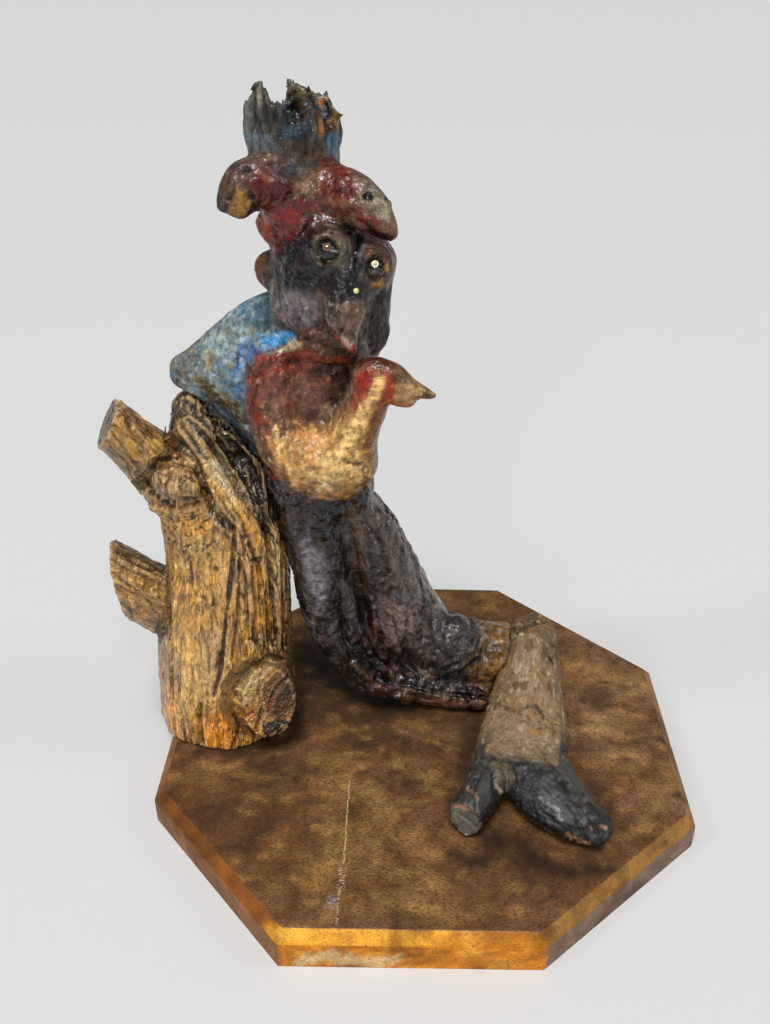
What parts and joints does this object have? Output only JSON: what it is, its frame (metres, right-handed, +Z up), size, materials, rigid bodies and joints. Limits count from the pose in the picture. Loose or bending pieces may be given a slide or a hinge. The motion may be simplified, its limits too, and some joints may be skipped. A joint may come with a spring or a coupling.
{
  "type": "rootwood folk carving",
  "caption": "Painted rootwood carving: an owl-faced creature with bird-headed branches leans back on a bark stump, its shin and feet lying on a chamfered octagonal plinth.",
  "frame": {"origin": "centre of the plinth's underside", "axes": "+Z up, +Y to the back, away from the faces, +X towards the side where the feet lie"},
  "size_m": [0.3784, 0.351, 0.4442],
  "materials": {
    "board": "walnut-stained board under worn varnish, with a golden varnished chamfer",
    "bark": "varnished golden bark with dark cracks",
    "painted_root": "black, crimson, blue and gold paint, rubbed and varnished",
    "bare_root": "grey-brown stripped root with slate-black painted feet",
    "clear_bead": "clear glass",
    "pin_head": "glossy pale yellow pin head"
  },
  "bodies": {
    "root": {"plinth_board": "board", "stump": "bark", "root_creature": "painted_root", "shin_root": "bare_root", "eye_bead_left": "clear_bead", "eye_bead_right": "clear_bead", "nose_bead": "pin_head"}
  },
  "joints": []
}
